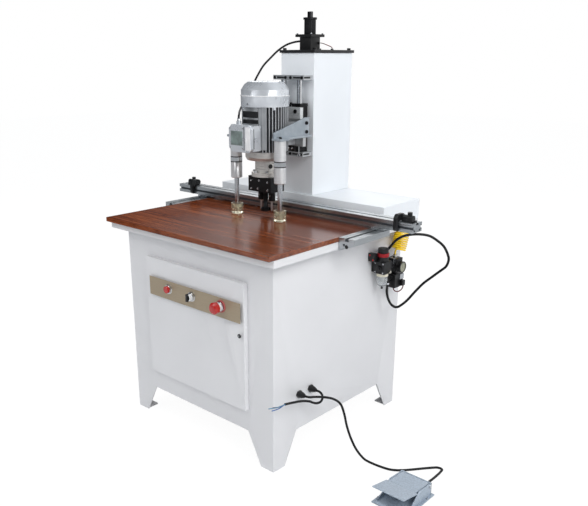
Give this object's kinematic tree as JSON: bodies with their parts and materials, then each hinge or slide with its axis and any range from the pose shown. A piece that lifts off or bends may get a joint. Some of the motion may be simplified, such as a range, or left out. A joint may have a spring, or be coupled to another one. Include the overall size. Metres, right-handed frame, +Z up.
{
  "type": "hinge boring machine",
  "caption": "Floor-standing hinge boring machine: air-fed vertical motor head with geared spindles, hold-down clamps and a fence on a sheet-metal cabinet, worked by a foot switch.",
  "frame": {"origin": "middle of the footprint (foot switch included, cords left out), on the floor", "axes": "+X to the operator's right, +Y away from the operator towards the column, +Z up"},
  "size_m": [1.393, 0.815, 1.4642],
  "materials": {
    "white_paint": "powder-coated sheet, satin white",
    "black_paint": "satin black enamel",
    "brown_laminate": "glossy red-brown laminate on board",
    "ground_steel": "ground and polished bar",
    "milled_steel": "milled, oiled",
    "cast_alloy": "silver-painted casting, satin",
    "extruded_alloy": "anodised extrusion, satin",
    "black_oxide": "black oxide, slightly oily",
    "black_plastic": "moulded, fine grain",
    "red_plastic": "moulded, glossy",
    "selector_plastic": "moulded, glossy",
    "yellow_rubber": "cast polyurethane, slightly see-through",
    "black_rubber": "cable jacket, satin",
    "yellow_hose": "coiled air tube, glossy",
    "grey_casting": "grey-blue hammered enamel"
  },
  "bodies": {
    "machine": {"cabinet": "white_paint", "top_frame": "white_paint", "work_board": "brown_laminate", "plinth": "white_paint", "column": "white_paint", "column_cap": "black_paint", "guide_plate_upper": "cast_alloy", "guide_plate_lower": "cast_alloy", "guide_rod_left": "ground_steel", "guide_rod_right": "ground_steel", "feed_cylinder": "cast_alloy", "switch_box": "black_plastic", "side_bar_left": "extruded_alloy", "side_bar_right": "extruded_alloy", "air_filter": "black_plastic", "air_regulator": "black_plastic", "gland_pedal": "black_plastic", "gland_mains": "black_plastic", "pedal_base": "grey_casting", "motor_cable": "black_rubber", "air_hose": "black_rubber", "recoil_hose": "yellow_hose", "pedal_cord": "black_rubber", "mains_cord": "black_rubber"},
    "head": {"carriage_plate": "milled_steel", "guide_block_left": "cast_alloy", "guide_block_right": "cast_alloy", "feed_rod": "black_oxide", "motor_body": "cast_alloy", "fan_cowl": "cast_alloy", "end_shield": "cast_alloy", "terminal_box": "cast_alloy", "gear_head": "black_oxide", "clamp_arm_left": "cast_alloy", "clamp_arm_right": "cast_alloy", "clamp_cylinder_left": "ground_steel", "clamp_cylinder_right": "ground_steel"},
    "centre_spindle": {"rotor_shaft": "milled_steel", "centre_spindle": "milled_steel", "cup_cutter": "black_oxide"},
    "side_spindle_left": {"side_spindle_left": "milled_steel", "side_bit_left": "milled_steel"},
    "side_spindle_right": {"side_spindle_right": "milled_steel", "side_bit_right": "milled_steel"},
    "clamp_rod_left": {"clamp_rod_left": "ground_steel", "clamp_foot_left": "yellow_rubber"},
    "clamp_rod_right": {"clamp_rod_right": "ground_steel", "clamp_foot_right": "yellow_rubber"},
    "stroke_nut": {"stroke_nut": "black_oxide"},
    "fence": {"fence_beam": "extruded_alloy"},
    "stop_slide_left": {"stop_slide_left": "black_paint"},
    "stop_slide_right": {"stop_slide_right": "black_paint"},
    "stop_arm_left": {"stop_arm_left": "black_paint"},
    "stop_arm_right": {"stop_arm_right": "black_paint"},
    "door": {"door": "white_paint"},
    "push_button": {"push_button": "red_plastic"},
    "selector_switch": {"selector_switch": "selector_plastic"},
    "emergency_stop": {"emergency_stop": "red_plastic"},
    "regulator_knob": {"regulator_knob": "black_plastic"},
    "treadle": {"treadle": "grey_casting"}
  },
  "joints": [
    {"name": "head_feed", "type": "slide", "parent": "machine", "child": "head", "axis": [0, 0, 1], "range_m": [0, 0.075], "deforming": ["motor_cable"]},
    {"name": "centre_spindle_spin", "type": "hinge", "parent": "head", "child": "centre_spindle", "pos_m": [-0.1235, 0.0105, 0.85], "axis": [0, 0, 1], "continuous": true},
    {"name": "left_spindle_spin", "type": "hinge", "parent": "head", "child": "side_spindle_left", "pos_m": [-0.1495, 0.016, 0.85], "axis": [0, 0, 1], "continuous": true},
    {"name": "right_spindle_spin", "type": "hinge", "parent": "head", "child": "side_spindle_right", "pos_m": [-0.0975, 0.016, 0.85], "axis": [0, 0, 1], "continuous": true},
    {"name": "left_clamp_stroke", "type": "slide", "parent": "head", "child": "clamp_rod_left", "axis": [0, 0, 1], "range_m": [0, 0.05]},
    {"name": "right_clamp_stroke", "type": "slide", "parent": "head", "child": "clamp_rod_right", "axis": [0, 0, 1], "range_m": [0, 0.05]},
    {"name": "stroke_nut_turn", "type": "hinge", "parent": "head", "child": "stroke_nut", "pos_m": [-0.1235, 0.2485, 1.4], "axis": [0, 0, 1], "continuous": true},
    {"name": "fence_slide", "type": "slide", "parent": "machine", "child": "fence", "axis": [0, 1, 0], "range_m": [-0.054, 0.015]},
    {"name": "left_stop_slide", "type": "slide", "parent": "fence", "child": "stop_slide_left", "axis": [1, 0, 0], "range_m": [-0.03, 0.3]},
    {"name": "right_stop_slide", "type": "slide", "parent": "fence", "child": "stop_slide_right", "axis": [1, 0, 0], "range_m": [-0.33, 0]},
    {"name": "left_stop_flip", "type": "hinge", "parent": "stop_slide_left", "child": "stop_arm_left", "pos_m": [-0.6055, 0.1085, 0.8143], "axis": [-1, 0, 0], "range_deg": [0, 100]},
    {"name": "right_stop_flip", "type": "hinge", "parent": "stop_slide_right", "child": "stop_arm_right", "pos_m": [0.3905, 0.1085, 0.8143], "axis": [-1, 0, 0], "range_deg": [0, 100]},
    {"name": "door_hinge", "type": "hinge", "parent": "machine", "child": "door", "pos_m": [-0.3635, -0.3575, 0.415], "axis": [0, 0, -1], "range_deg": [0, 110]},
    {"name": "start_button", "type": "slide", "parent": "door", "child": "push_button", "axis": [0, 1, 0], "range_m": [0, 0.004], "stiffness_N_per_m": 500},
    {"name": "selector_turn", "type": "hinge", "parent": "door", "child": "selector_switch", "pos_m": [-0.1105, -0.3575, 0.543], "axis": [0, 1, 0], "range_deg": [-45, 45]},
    {"name": "emergency_stop_push", "type": "slide", "parent": "door", "child": "emergency_stop", "axis": [0, 1, 0], "range_m": [0, 0.006], "stiffness_N_per_m": 1200},
    {"name": "regulator_turn", "type": "hinge", "parent": "machine", "child": "regulator_knob", "pos_m": [0.2745, 0.1905, 0.656], "axis": [0, 0, 1], "continuous": true},
    {"name": "treadle_press", "type": "hinge", "parent": "machine", "child": "treadle", "pos_m": [0.6285, -0.1095, 0.038], "axis": [1, 0, 0], "range_deg": [0, 8], "stiffness_Nm_per_rad": 12, "springref_deg": -20.05}
  ],
  "couplings": [
    {"joint": "left_spindle_spin", "follows": "centre_spindle_spin", "ratio": -1},
    {"joint": "right_spindle_spin", "follows": "centre_spindle_spin", "ratio": -1}
  ]
}
